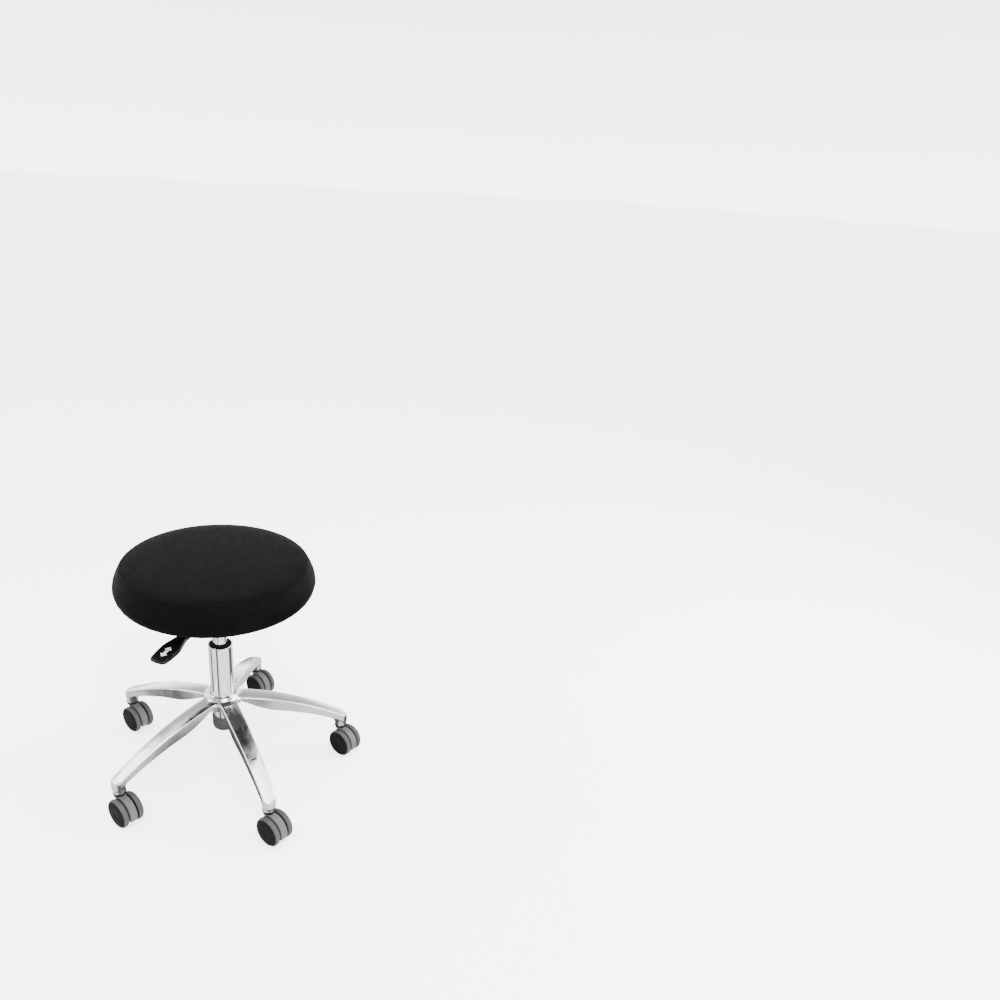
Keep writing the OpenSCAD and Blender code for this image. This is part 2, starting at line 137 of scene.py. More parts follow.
def area_light(name, place, target, width, height, power):
    data = bpy.data.lights.new(name, "AREA")
    data.shape = "RECTANGLE"
    data.size, data.size_y, data.energy = width, height, power
    light = bpy.data.objects.new(name, data)
    light.location = place
    light.rotation_euler = (Vector(target) - Vector(place)).to_track_quat("-Z", "Y").to_euler()
    bpy.context.scene.collection.objects.link(light)


def card(name, near, far, middle, spread, shade, height):
    """A sector that lies on the floor, from radius near to far, only for metal to mirror."""
    angles = np.radians(np.linspace(middle - spread, middle + spread, 1 + int(2 * spread / 3) * 2))
    verts = [(r * math.cos(a), r * math.sin(a), height) for r in (near, far) for a in angles]
    n = len(angles)
    mesh = bpy.data.meshes.new(name)
    mesh.from_pydata(verts, [], [[k, n + k, n + k + 1, k + 1] for k in range(n - 1)])
    made = bpy.data.objects.new(name, mesh)
    bpy.context.scene.collection.objects.link(made)
    made.data.materials.append(plain(name, (shade, shade, shade), 0.9))
    made.visible_camera = False
    made.visible_shadow = False
    made.visible_diffuse = False


def make_studio():
    world = bpy.data.worlds.new("studio")
    world.use_nodes = True
    tree = world.node_tree
    background = tree.nodes["Background"]
    background.inputs["Strength"].default_value = ROOM_STRENGTH
    seen = tree.nodes.new("ShaderNodeNewGeometry").outputs["Incoming"]
    split = tree.nodes.new("ShaderNodeSeparateXYZ")
    ramp = tree.nodes.new("ShaderNodeValToRGB")
    for _ in range(len(SKY) - 2):
        ramp.color_ramp.elements.new(0.5)
    for element, (at, value) in zip(ramp.color_ramp.elements, SKY):
        element.position = at
        element.color = (value, value, value, 1)
    half = tree.nodes.new("ShaderNodeMath")
    half.operation = "MULTIPLY_ADD"
    half.inputs[1].default_value, half.inputs[2].default_value = -0.5, 0.5
    tree.links.new(seen, split.inputs[0])
    tree.links.new(split.outputs["Z"], half.inputs[0])
    tree.links.new(half.outputs[0], ramp.inputs["Fac"])
    tree.links.new(ramp.outputs["Color"], background.inputs["Color"])
    bpy.context.scene.world = world
    for light in LIGHTS:
        area_light(*light)
    bpy.ops.mesh.primitive_plane_add(size=FLOOR_SIZE, location=(0, 0, 0))
    floor = bpy.context.object
    floor.name = "floor"
    floor.data.materials.append(plain("floor", (FLOOR_SHADE,) * 3, 0.7, FLOOR_GLOW))
    for sector in CARDS:
        card(*sector)



# ------------------------------------------------------------ materials


def plain(name, colour, roughness, glow=0.0):
    """A flat material, only for the floor and what lies on it."""
    material = bpy.data.materials.new(name)
    material.use_nodes = True
    shader = material.node_tree.nodes["Principled BSDF"]
    shader.inputs["Base Color"].default_value = (*colour, 1)
    shader.inputs["Roughness"].default_value = roughness
    shader.inputs["Emission Color"].default_value = (1, 1, 1, 1)
    shader.inputs["Emission Strength"].default_value = glow
    return material


class Nodes:
    """A material's node tree, with short ways to add the nodes that these materials use."""

    def __init__(self, name, metallic=0.0, roughness=0.5, specular=0.5):
        self.material = bpy.data.materials.new(name)
        self.material.use_nodes = True
        self.tree = self.material.node_tree
        self.shader = self.tree.nodes["Principled BSDF"]
        self.shader.inputs["Metallic"].default_value = metallic
        self.shader.inputs["Roughness"].default_value = roughness
        self.shader.inputs["Specular IOR Level"].default_value = specular
        self.place = self.tree.nodes.new("ShaderNodeTexCoord").outputs["Object"]

    def link(self, a, b):
        self.tree.links.new(a, b)

    def scaled(self, factors, turn=(0, 0, 0)):
        node = self.tree.nodes.new("ShaderNodeMapping")
        node.inputs["Scale"].default_value = factors
        node.inputs["Rotation"].default_value = turn
        self.link(self.place, node.inputs["Vector"])
        return node.outputs["Vector"]

    def noise(self, scale, detail=3.0, vector=None, roughness=0.55):
        node = self.tree.nodes.new("ShaderNodeTexNoise")
        node.inputs["Scale"].default_value = scale
        node.inputs["Detail"].default_value = detail
        node.inputs["Roughness"].default_value = roughness
        self.link(vector or self.place, node.inputs["Vector"])
        return node.outputs["Fac"]

    def cells(self, scale, feature="DISTANCE_TO_EDGE", vector=None):
        node = self.tree.nodes.new("ShaderNodeTexVoronoi")
        node.feature = feature
        node.inputs["Scale"].default_value = scale
        self.link(vector or self.place, node.inputs["Vector"])
        return node.outputs["Distance"]

    def span(self, value, low_in, high_in, low_out, high_out):
        node = self.tree.nodes.new("ShaderNodeMapRange")
        for i, v in enumerate((low_in, high_in, low_out, high_out), start=1):
            node.inputs[i].default_value = v
        self.link(value, node.inputs[0])
        return node.outputs["Result"]

    def sum(self, a, b, operation="ADD"):
        node = self.tree.nodes.new("ShaderNodeMath")
        node.operation = operation
        for socket, value in zip(node.inputs, (a, b)):
            if isinstance(value, (int, float)):
                socket.default_value = value
            else:
                self.link(value, socket)
        return node.outputs[0]

    def colours(self, value, stops):
        node = self.tree.nodes.new("ShaderNodeValToRGB")
        ramp = node.color_ramp
        while len(ramp.elements) < len(stops):
            ramp.elements.new(0.5)
        for element, (at, colour) in zip(ramp.elements, stops):
            element.position = at
            element.color = (*colour, 1)
        self.link(value, node.inputs["Fac"])
        self.link(node.outputs["Color"], self.shader.inputs["Base Color"])

    def rough(self, value):
        self.link(value, self.shader.inputs["Roughness"])

    def bump(self, value, strength, distance):
        node = self.tree.nodes.new("ShaderNodeBump")
        node.inputs["Strength"].default_value = strength
        node.inputs["Distance"].default_value = distance
        self.link(value, node.inputs["Height"])
        self.link(node.outputs["Normal"], self.shader.inputs["Normal"])


def grey(value, tint=0.0):
    return (value, value, value * (1 + tint))


def make_cast_aluminium():
    n = Nodes("polished_aluminium", metallic=1)
    n.colours(n.noise(9, 4), [(0.3, grey(0.52, 0.01)), (0.7, grey(0.68, 0.015))])
    n.rough(n.span(n.noise(40, 5), 0.35, 0.75, 0.14, 0.30))
    brushed = n.noise(240, 2, n.scaled((1, 1, 14)))
    n.bump(n.sum(n.noise(18, 2), n.sum(brushed, 0.12, "MULTIPLY")), 0.10, 0.0006)
    return n.material


def make_chrome():
    n = Nodes("chrome", metallic=1)
    n.colours(n.noise(6, 2), [(0.3, grey(0.84)), (0.7, grey(0.90, 0.01))])
    n.rough(n.span(n.noise(30, 4), 0.4, 0.8, 0.03, 0.08))
    n.bump(n.noise(500, 2, n.scaled((1, 1, 0.08))), 0.05, 0.0002)
    return n.material


def make_steel():
    n = Nodes("zinc_plated_steel", metallic=1)
    n.colours(n.noise(60, 4), [(0.3, grey(0.50, 0.02)), (0.7, grey(0.64, 0.03))])
    n.rough(n.span(n.noise(120, 4), 0.3, 0.7, 0.22, 0.38))
    n.bump(n.noise(900, 2), 0.15, 0.0001)
    return n.material


def make_black_steel():
    n = Nodes("powder_coated_steel", roughness=0.5, specular=0.2)
    n.colours(n.noise(25, 3), [(0.3, grey(0.006)), (0.7, grey(0.010))])
    n.rough(n.span(n.noise(70, 4), 0.3, 0.7, 0.42, 0.56))
    n.bump(n.noise(1100, 3), 0.35, 0.00025)
    return n.material


def make_black_plastic():
    n = Nodes("black_nylon", roughness=0.6, specular=0.015)
    n.colours(n.noise(20, 3), [(0.3, grey(0.0045)), (0.7, grey(0.0070))])
    n.rough(n.span(n.noise(80, 4), 0.3, 0.7, 0.36, 0.52))
    n.bump(n.noise(1600, 2), 0.25, 0.0001)
    return n.material


def make_lever_plastic():
    n = Nodes("gloss_black_plastic", roughness=0.15, specular=0.2)
    n.colours(n.noise(30, 3), [(0.3, grey(0.003)), (0.7, grey(0.005))])
    n.rough(n.span(n.noise(45, 5), 0.35, 0.75, 0.10, 0.26))
    n.bump(n.noise(700, 2), 0.05, 0.0001)
    return n.material


def make_mark():
    n = Nodes("pale_mark", roughness=0.4)
    n.colours(n.noise(200, 2), [(0.3, grey(0.72)), (0.7, grey(0.82))])
    return n.material


def make_hood_grey():
    n = Nodes("grey_moulding", roughness=0.42, specular=0.1)
    n.colours(n.noise(35, 4), [(0.3, grey(0.066, 0.01)), (0.7, grey(0.080, 0.01))])
    n.rough(n.span(n.noise(90, 4), 0.3, 0.7, 0.36, 0.48))
    n.bump(n.noise(1500, 2), 0.25, 0.0001)
    return n.material


def make_tread_grey():
    n = Nodes("grey_polyurethane", roughness=0.55, specular=0.1)
    n.colours(n.noise(45, 5), [(0.25, grey(0.034, 0.01)), (0.75, grey(0.050, 0.01))])
    n.rough(n.span(n.noise(60, 5), 0.3, 0.7, 0.48, 0.66))
    n.bump(n.noise(900, 4), 0.3, 0.0002)
    return n.material


def make_leatherette():
    n = Nodes("black_leatherette", roughness=0.6, specular=0.018)
    n.colours(n.noise(60, 5), [(0.25, grey(0.0008)), (0.75, grey(0.0016, 0.02))])
    grain = n.sum(n.span(n.cells(620), 0.0, 0.25, 0.0, 1.0), n.noise(900, 3))
    n.rough(n.span(n.noise(90, 4), 0.3, 0.7, 0.50, 0.60))
    n.bump(grain, 0.35, 0.00022)
    return n.material


def make_thread():
    n = Nodes("black_thread", roughness=0.8, specular=0.02)
    n.colours(n.noise(900, 2), [(0.3, grey(0.002)), (0.7, grey(0.005))])
    n.bump(n.noise(3000, 2), 0.4, 0.0001)
    return n.material


def make_plywood():
    n = Nodes("black_stained_plywood", roughness=0.65, specular=0.1)
    grain = n.noise(70, 5, n.scaled((1, 9, 9)))
    n.colours(grain, [(0.2, grey(0.005)), (0.5, (0.010, 0.009, 0.008)), (0.8, (0.018, 0.015, 0.013))])
    n.rough(n.span(grain, 0.3, 0.7, 0.55, 0.75))
    n.bump(grain, 0.3, 0.0003)
    return n.material


def make_foam():
    n = Nodes("seat_foam", roughness=0.9)
    n.colours(n.noise(80, 4), [(0.3, (0.72, 0.64, 0.42)), (0.7, (0.80, 0.73, 0.52))])
    n.bump(n.cells(900), 0.5, 0.0006)
    return n.material


def make_cord():
    n = Nodes("braided_cord", roughness=0.85)
    n.colours(n.noise(700, 2), [(0.3, grey(0.02)), (0.7, grey(0.05))])
    n.bump(n.cells(700), 0.6, 0.0004)
    return n.material


MATERIALS = {
    "cast_aluminium": make_cast_aluminium(), "chrome": make_chrome(), "steel": make_steel(),
    "black_steel": make_black_steel(), "black_plastic": make_black_plastic(),
    "lever_plastic": make_lever_plastic(), "hood_grey": make_hood_grey(),
    "tread_grey": make_tread_grey(), "leatherette": make_leatherette(),
    "foam": make_foam(), "plywood": make_plywood(), "cord": make_cord(),
}
THREAD = make_thread()
MARK = make_mark()
SLOT_OF = {p["node"]: p["material_slot"] for p in frame["record"]["subparts"]}
BODY_OF = {n: b for b, ns in frame["record"]["behaviour"]["bodies"].items() for n in ns}

# ------------------------------------------------------------ mesh tools


def piece(name, verts, faces, node, material=None, stands_for=True, smooth=True):
    """A new piece in millimetres that rides with a CAD node's body and, as a rule, replaces it."""
    mesh = bpy.data.meshes.new(name)
    mesh.from_pydata([tuple(v) for v in np.asarray(verts) * MM], [], faces)
    mesh.validate()
    made = bpy.data.objects.new(name, mesh)
    bpy.context.scene.collection.objects.link(made)
    finish_piece(made, node, material, stands_for, smooth)
    return made


def finish_piece(made, node, material=None, stands_for=True, smooth=True):
    made.data.materials.clear()
    made.data.materials.append(material or MATERIALS[SLOT_OF[node]])
    made.data.polygons.foreach_set("use_smooth", [smooth] * len(made.data.polygons))
    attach(made, BODY_OF[node])
    if stands_for:
        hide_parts(node)


def rounded(points, radius, steps=4):
    """A closed outline with each corner turned into an arc of the radius, or of its own."""
    out = []
    for i, point in enumerate(points):
        p = np.array(point[:2], float)
        r = point[2] if len(point) > 2 else radius
        a = np.array(points[i - 1][:2], float) - p
        b = np.array(points[(i + 1) % len(points)][:2], float) - p
        la, lb = np.linalg.norm(a), np.linalg.norm(b)
        a, b = a / la, b / lb
        half = math.acos(np.clip(a @ b, -1, 1)) / 2
        if r <= 0 or half > math.radians(88):
            out.append(tuple(p))
            continue
        cut = min(r / math.tan(half), 0.45 * la, 0.45 * lb)
        r = cut * math.tan(half)
        centre = p + (a + b) / np.linalg.norm(a + b) * r / math.sin(half)
        start, end = p + a * cut - centre, p + b * cut - centre
        sweep = math.pi - 2 * half
        turn = np.sign(start[0] * end[1] - start[1] * end[0])
        for k in range(steps + 1):
            t = turn * sweep * k / steps
            c, s = math.cos(t), math.sin(t)
            out.append(tuple(centre + (start[0] * c - start[1] * s, start[0] * s + start[1] * c)))
    return out


def revolved(outline, segments=96):
    """Turns a closed outline of (radius, height) about Z. Points on the axis are shared."""
    verts, rings = [], []
    for r, z in outline:
        if r < 1e-6:
            rings.append([len(verts)] * segments)
            verts.append((0, 0, z))
        else:
            rings.append(range(len(verts), len(verts) + segments))
            verts += [(r * math.cos(2 * math.pi * k / segments),
                       r * math.sin(2 * math.pi * k / segments), z) for k in range(segments)]
    faces = []
    for i, ring in enumerate(rings):
        after = rings[(i + 1) % len(rings)]
        for k in range(segments):
            m = (k + 1) % segments
            corners = [ring[k], ring[m], after[m], after[k]]
            face = list(dict.fromkeys(corners))
            if len(face) > 2:
                faces.append(face[::-1])
    return verts, faces


def smooth_min(a, b, k):
    """The lesser of two distances, blended over k where they are close."""
    h = np.clip(0.5 + 0.5 * (b - a) / k, 0, 1)
    return b + (a - b) * h - k * h * (1 - h)


def smooth_max(a, b, k):
    return -smooth_min(-a, -b, k)


def rounded_both(a, b, r):
    """The space inside both of two distances, with the edge between them rounded."""
    a, b = a + r, b + r
    return np.hypot(np.maximum(a, 0), np.maximum(b, 0)) + np.minimum(np.maximum(a, b), 0) - r


BLOCK = 8


def skin(field, lowest, highest, step):
    """The surface where a distance field is zero, as quads on a grid of the given step.
    Only blocks near the surface are sampled finely. Each point then slides onto the surface."""
    counts = [int(math.ceil((b - a) / step / BLOCK)) for a, b in zip(lowest, highest)]
    shape = [c * BLOCK + 1 for c in counts]
    lowest = np.array(lowest, float)
    blocks = np.stack(np.meshgrid(*map(np.arange, counts), indexing="ij"), -1).reshape(-1, 3)
    centres = lowest + (blocks + 0.5) * BLOCK * step
    middle = field(*centres.T)
    grid = np.sign(middle).reshape(counts)
    for axis in range(3):
        grid = np.repeat(grid, BLOCK, axis)
    grid = np.pad(grid * 1e3, ((0, 1), (0, 1), (0, 1)), mode="edge")
    near = blocks[np.abs(middle) < BLOCK * step]
    offsets = np.stack(np.meshgrid(*[np.arange(BLOCK + 1)] * 3, indexing="ij"), -1).reshape(-1, 3)
    for part in np.array_split(near, max(1, len(near) // 1500)):
        at = (part[:, None] * BLOCK + offsets[None]).reshape(-1, 3)
        grid[tuple(at.T)] = field(*(lowest + at * step).T)

    inside = grid < 0
    corner = [tuple(slice(o, n - 1 + o) for o, n in zip(c, shape)) for c in np.ndindex(2, 2, 2)]
    held = sum(inside[c].astype(np.int8) for c in corner)
    cells = np.argwhere((held > 0) & (held < 8))
    number = np.full(held.shape, -1, np.int64)
    number[tuple(cells.T)] = np.arange(len(cells))
    total, crossings = np.zeros((len(cells), 3)), np.zeros(len(cells))
    for a in np.ndindex(2, 2, 2):
        for axis in range(3):
            if a[axis]:
                continue
            b = np.array(a)
            b[axis] = 1
            fa, fb = grid[tuple((cells + a).T)], grid[tuple((cells + b).T)]
            cut = (fa < 0) != (fb < 0)
            t = np.where(cut, fa / np.where(cut, fa - fb, 1), 0)
            point = np.array(a, float) + t[:, None] * (b - np.array(a))
            total += point * cut[:, None]
            crossings += cut
    verts = lowest + (cells + total / crossings[:, None]) * step

    faces = []
    for axis in range(3):
        first = tuple(slice(0, -1) if i == axis else slice(1, -1) for i in range(3))
        second = tuple(slice(1, None) if i == axis else slice(1, -1) for i in range(3))
        cut = np.argwhere(inside[first] != inside[second])
        u, v = [i for i in range(3) if i != axis]
        at = cut + [0 if i == axis else 1 for i in range(3)]
        corners = []
        for du, dv in ((1, 1), (0, 1), (0, 0), (1, 0)):
            cell = at.copy()
            cell[:, u] -= du
            cell[:, v] -= dv
            corners.append(number[tuple(cell.T)])
        quad = np.stack(corners, -1)
        flip = inside[tuple(at.T)] == (axis == 1)
        quad[flip] = quad[flip][:, ::-1]
        faces.append(quad)
    faces = np.concatenate(faces)

    nudge = 0.05
    for _ in range(3):
        value = field(*verts.T)
        slope = np.stack([(field(*(verts + nudge * e).T) - field(*(verts - nudge * e).T)) / (2 * nudge)
                          for e in np.eye(3)], -1)
        move = -value[:, None] * slope / np.maximum((slope ** 2).sum(1), 0.25)[:, None]
        verts = verts + np.clip(move, -0.4 * step, 0.4 * step)
    return verts, faces.tolist()


def placed(verts, matrix):
    """Points moved by a 4 x 4 matrix in millimetres."""
    m = np.array(matrix)
    return np.asarray(verts) @ m[:3, :3].T + m[:3, 3]


def bevelled(node, width=0.6, segments=2):
    """Stands for a CAD node with a copy of its solid whose edges are rounded."""
    source = frame["nodes"][node]
    mesh = source.data.copy()
    bm = bmesh.new()
    bm.from_mesh(mesh)
    bmesh.ops.remove_doubles(bm, verts=bm.verts, dist=1e-6)
    bmesh.ops.dissolve_limit(bm, angle_limit=math.radians(1), verts=bm.verts, edges=bm.edges)
    bm.to_mesh(mesh)
    bm.free()
    made = bpy.data.objects.new(node + "_body", mesh)
    bpy.context.scene.collection.objects.link(made)
    finish_piece(made, node)
    bevel = made.modifiers.new("round", "BEVEL")
    bevel.width, bevel.segments = width * MM, segments
    bevel.limit_method, bevel.angle_limit = "ANGLE", math.radians(32)
    bevel.harden_normals = True
    return made


# ------------------------------------------------------------ base casting

ARM_STEP = 2 * math.pi / len(CASTERS)
ROOT_R, ROOT_H, ROOT_W = 45, 172, 35
TIP_H, TIP_W = 101, 26.5
TAPER_R = 100
SLOPE = 0.14
CURVE = (ROOT_H - TIP_H - SLOPE * (STEM_CIRCLE - ROOT_R)) / (STEM_CIRCLE - ROOT_R) ** 2
WALL = 4
SOCKET_R = 12.8
SOCKET_LOW = high("socket_sleeves") - 23.5
WEB_LOW = ROOT_H - 7
HUB_TOP = high("base_casting")


def arm_top(r):
    return ROOT_H - SLOPE * (r - ROOT_R) - CURVE * np.maximum(r - ROOT_R, 0) ** 2


def arm_depth(r):
    """Height of the side walls, which are deepest near the hub."""
    return 17 + 12 * (np.maximum(STEM_CIRCLE - r, 0) / (STEM_CIRCLE - TAPER_R)) ** 1.2


# How far the arch between two arms lies under the hub's top, at distances from the column's axis
ARCH_AT = [36, 50, 64, 80, 96, 112]
ARCH_DROP = [ROOT_H - WEB_LOW, 14.5, 22.5, 30.5, 36.8,
             ROOT_H - arm_top(ARCH_AT[-1]) + arm_depth(ARCH_AT[-1])]


def arm_low(r):
    """Height of the side walls' lower edge: high in the arches by the hub, then along the arm."""
    arch = np.interp(r, ARCH_AT, [ROOT_H - drop for drop in ARCH_DROP])
    return np.where(r > ARCH_AT[-1], arm_top(r) - arm_depth(r), arch)


def base_field(x, y, z):
    """Distance from the casting's surface, less than zero in its metal."""
    r = np.hypot(x, y)
    plan = None
    for k in range(len(CASTERS)):
        a = -math.pi / 2 + ARM_STEP * k
        u, v = x * math.cos(a) + y * math.sin(a), -x * math.sin(a) + y * math.cos(a)
        near = np.clip(u, 0, STEM_CIRCLE)
        half = np.interp(near, [TAPER_R, STEM_CIRCLE], [ROOT_W / 2, TIP_W / 2])
        arm = np.hypot(u - near, v) - half
        plan = arm if plan is None else smooth_min(plan, arm, 20)
    turn = np.round((np.arctan2(y, x) + math.pi / 2) / ARM_STEP) * ARM_STEP - math.pi / 2
    u, v = x * np.cos(turn) + y * np.sin(turn), -x * np.sin(turn) + y * np.cos(turn)

    lean = 1 / np.hypot(1, SLOPE + 2 * CURVE * np.maximum(r - ROOT_R, 0))
    top = (z - arm_top(r) + 0.003 * np.minimum(v, 16) ** 2) * lean
    low = (arm_low(r) - z) * lean
    body = rounded_both(rounded_both(plan, top, 2.4), low, 0.9)
    channel = rounded_both(rounded_both(plan + WALL, top + WALL, 3), 38 - r, 2)
    body = smooth_max(body, -channel, 0.8)

    # the stem's socket, with a web that stiffens it and a bore for the sleeve
    from_stem = np.hypot(u - STEM_CIRCLE, v)
    socket = rounded_both(from_stem - SOCKET_R, np.maximum(SOCKET_LOW - z, top + 3), 1.2)
    gusset = np.maximum(np.abs(v) - 2.4, (STEM_CIRCLE - 12 - u) * 0.72 - (z - SOCKET_LOW - 9) * 0.69)
    gusset = np.maximum(gusset, np.maximum(top + 2, u - STEM_CIRCLE))
    body = smooth_min(body, smooth_min(socket, gusset, 3), 4)
    bore = np.maximum(from_stem - 8.1, z - SOCKET_LOW - 24.2)
    body = np.maximum(body, -bore)

    # the hub round the column
    collar = rounded_both(r - 28, np.maximum(z - HUB_TOP, WEB_LOW - z), 2.4)
    body = smooth_min(body, collar, 17)
    sleeve = rounded_both(r - COLUMN_R - 7, np.maximum(ROOT_H - 24 - z, z - ROOT_H), 1.2)
    body = smooth_min(body, sleeve, 4)
    return rounded_both(body, COLUMN_R + 0.1 - r, 0.7)


NUDGE = 0.02


def field_normals(field, verts):
    normals = np.stack([field(*(verts + NUDGE * e).T) - field(*(verts - NUDGE * e).T)
                        for e in np.eye(3)], -1)
    return normals / np.maximum(np.linalg.norm(normals, axis=1), 1e-9)[:, None]


def set_normals(made, normals, place):
    turned = normals @ np.array(place)[:3, :3].T
    made.data.normals_split_custom_set_from_vertices(turned.tolist())


def skinned(name, field, lowest, highest, step, node, place):
    """A piece whose surface and normals come from a distance field."""
    verts, faces = skin(field, lowest, highest, step)
    made = piece(name, placed(verts, place), faces, node)
    set_normals(made, field_normals(field, verts), place)


def make_base():
    reach = STEM_CIRCLE + TIP_W / 2 + 3
    skinned("cast_base", base_field, (-reach, -reach, SOCKET_LOW - 4), (reach, reach, HUB_TOP + 4),
            1.8, "base_casting", Matrix.Identity(4))


# ------------------------------------------------------------ casters
# A caster is made with its stem on the Z axis and its wheels trailing along +X.

WHEEL_OUT = 23.0
WHEEL_IN = 11.0
TREAD_T = 4.0
HOOD_R = WHEEL_R - 0.6
HOOD_HALF = 7.5
COLLAR_R = 11.5
COLLAR_TOP = high("caster_1_housing")
WHEEL_SEGMENTS = 72


def caster_place(i):
    x, y, _ = joints[f"caster_{i}_swivel"]["pos_m"]
    return Matrix.Translation((x / MM, y / MM, 0)) @ Matrix.Rotation(TRAIL_ANGLE, 4, "Z")


def hood_field(x, y, z):
    """Distance from the hood's surface: two curved walls over the axle, its boss and its collar."""
    from_axle = np.hypot(x - TRAIL, z - AXLE_H)
    floor = 17 - z
    side = np.abs(y)
    body = rounded_both(rounded_both(from_axle - HOOD_R, side - HOOD_HALF, 1.0), floor, 0.6)
    front = np.maximum(x + 9.5, z - AXLE_H - 8)
    body = rounded_both(body, -front, 0.8)
    hollow = rounded_both(rounded_both(from_axle - HOOD_R + 2.6, side - HOOD_HALF + 2.2, 1), 5 - z, 0)
    body = smooth_max(body, -hollow, 0.6)
    # a fine line moulded along each edge of the hood's back
    line = np.hypot(from_axle - HOOD_R, side - HOOD_HALF + 2.1) - 0.35
    body = smooth_max(body, -line, 0.3)
    stem = np.hypot(x, y)
    boss = np.maximum(stem - 8.4, np.maximum(AXLE_H + 6 - z, z - COLLAR_TOP + 2))
    body = smooth_min(body, boss, 2)
    hub = np.maximum(from_axle - 9, side - WHEEL_IN + 0.5)
    body = smooth_min(body, hub, 1.2)
    collar = rounded_both(stem - COLLAR_R, np.maximum(z - COLLAR_TOP, COLLAR_TOP - 5 - z), 0.8)
    body = smooth_min(body, collar, 1.5)
    body = np.maximum(body, 5.6 - stem)
    return np.maximum(body, 4.03 - from_axle)


def make_hoods():
    verts, faces = skin(hood_field, (-16, -13, 14), (48, 13, 66), 0.8)
    normals = field_normals(hood_field, verts)
    for i in range(1, 6):
        place = caster_place(i)
        made = piece(f"hood_{i}", placed(verts, place), faces, f"caster_{i}_housing")
        set_normals(made, normals, place)


def wheel_outline():
    rim = WHEEL_R - TREAD_T
    out = WHEEL_OUT
    return rounded([
        (4.07, WHEEL_IN + 0.3, 0.2), (9, WHEEL_IN + 0.3, 0.4), (9, out - 4.5, 0.8),
        (rim - 3, out - 4.5, 0.8), (rim - 3, WHEEL_IN, 0.4), (rim, WHEEL_IN, 0.2),
        (rim, out - 1.7, 0.1), (rim + 1.4, out - 1.1, 0.3), (rim + 0.9, out - 0.3, 0.5),
        (rim - 4.6, out, 0.6), (rim - 4.9, out - 0.7, 0.25), (rim - 5.9, out - 0.7, 0.25),
        (rim - 6.2, out + 0.05, 0.5), (8.4, out + 0.25, 0.5), (8.0, out - 0.35, 0.25),
        (0, out - 0.35, 0), (0, out - 2.5, 0), (4.07, out - 2.5, 0.3)], 0.3)


def tread_outline():
    rim = WHEEL_R - TREAD_T + 0.04
    inner, out = WHEEL_IN + 0.4, WHEEL_OUT - 1.8
    crown = [(WHEEL_R - 1.5, inner, 0.6), (WHEEL_R - 0.15, inner + 1.9, 2.2),
             (WHEEL_R, (inner + out) / 2, 0), (WHEEL_R - 0.15, out - 1.9, 2.2),
             (WHEEL_R - 1.5, out, 0.6)]
    return rounded([(rim, inner, 0.2)] + crown + [(rim, out, 0.2)], 0.3, 5)


def make_wheels():
    """Each wheel turns about its axle, so its outline is in distance from the caster's middle."""
    for part, outline, kind in (("wheel", wheel_outline(), "wheel"),
                                ("tyre", tread_outline(), "tread")):
        verts, faces = revolved(outline, WHEEL_SEGMENTS)
        for side, turn in (("left", -90), ("right", 90)):
            local = (Matrix.Translation((TRAIL, 0, AXLE_H))
                     @ Matrix.Rotation(math.radians(turn), 4, "X"))
            for i in range(1, 6):
                made = piece(f"{part}_{i}_{side}", placed(verts, caster_place(i) @ local), faces,
                             f"caster_{i}_{kind}_{side}")
                smooth_by_angle(made, 38)


def smooth_by_angle(made, degrees):
    made.data.set_sharp_from_angle(angle=math.radians(degrees))


# ------------------------------------------------------------ column

COLUMN_SEGMENTS = 128


def make_column():
    b, t, r = low("outer_tube"), high("outer_tube"), COLUMN_R
    tube = rounded([
        (6, b, 0.4), (r - 2.2, b, 5.5), (r, b + 9, 4), (r, t, 1.1), (r - 2, t, 0.5),
        (r - 2, b + 8, 1), (r - 4, b + 4.5, 2), (6, b + 4.5, 0.3)], 0.5, 6)
    smooth_by_angle(piece("column_tube", *revolved(tube, COLUMN_SEGMENTS), "outer_tube"), 40)
    t = high("guide_bush") - 1.6
    inner, outer = CYLINDER_R + 0.06, r - 2.03
    bush = rounded([
        (inner, low("guide_bush"), 0.3), (outer, low("guide_bush"), 0.3), (outer, t - 1.4, 0.3),
        (outer - 1.2, t - 0.2, 0.5), (inner + 3.4, t - 0.6, 0.6), (inner + 2.3, t + 1.6, 0.5),
        (inner + 0.5, t + 1.6, 0.4), (inner, t + 0.5, 0.2)], 0.3, 4)
    smooth_by_angle(piece("column_bush", *revolved(bush, COLUMN_SEGMENTS), "guide_bush"), 40)
    b, t, r = low("gas_cylinder"), high("gas_cylinder"), CYLINDER_R
    cylinder = rounded([
        (r - 1.6, b, 0.2), (r, b, 0.6), (r, t, 1.2), (3.6, t, 0.3), (3.6, t - 8, 0.2),
        (r - 1.6, t - 8, 0.8)], 0.3, 4)
    smooth_by_angle(piece("lift_cylinder", *revolved(cylinder, COLUMN_SEGMENTS), "gas_cylinder"), 40)


# ------------------------------------------------------------ lever

LEVER_H = joints["lever_pull"]["pos_m"][2] / MM
LEVER_AT = Vector(joints["lever_pull"]["pos_m"]).to_2d().length / MM
LEVER_REACH, LEVER_DROP = 195, 19
PADDLE_L, PADDLE_HALF, NECK_HALF = 96, 18.5, 9
END_R = 62
DISH_AT, DISH_DEPTH = 66, 0.9
# A pale double arrow raised on the paddle's top, as points across and along the paddle
ARROW = [(0, 16), (8, 7), (3.2, 7), (3.2, -7), (8, -7), (0, -16),
         (-8, -7), (-3.2, -7), (-3.2, 7), (-8, 7)]
ARROW_SCALE = 0.9


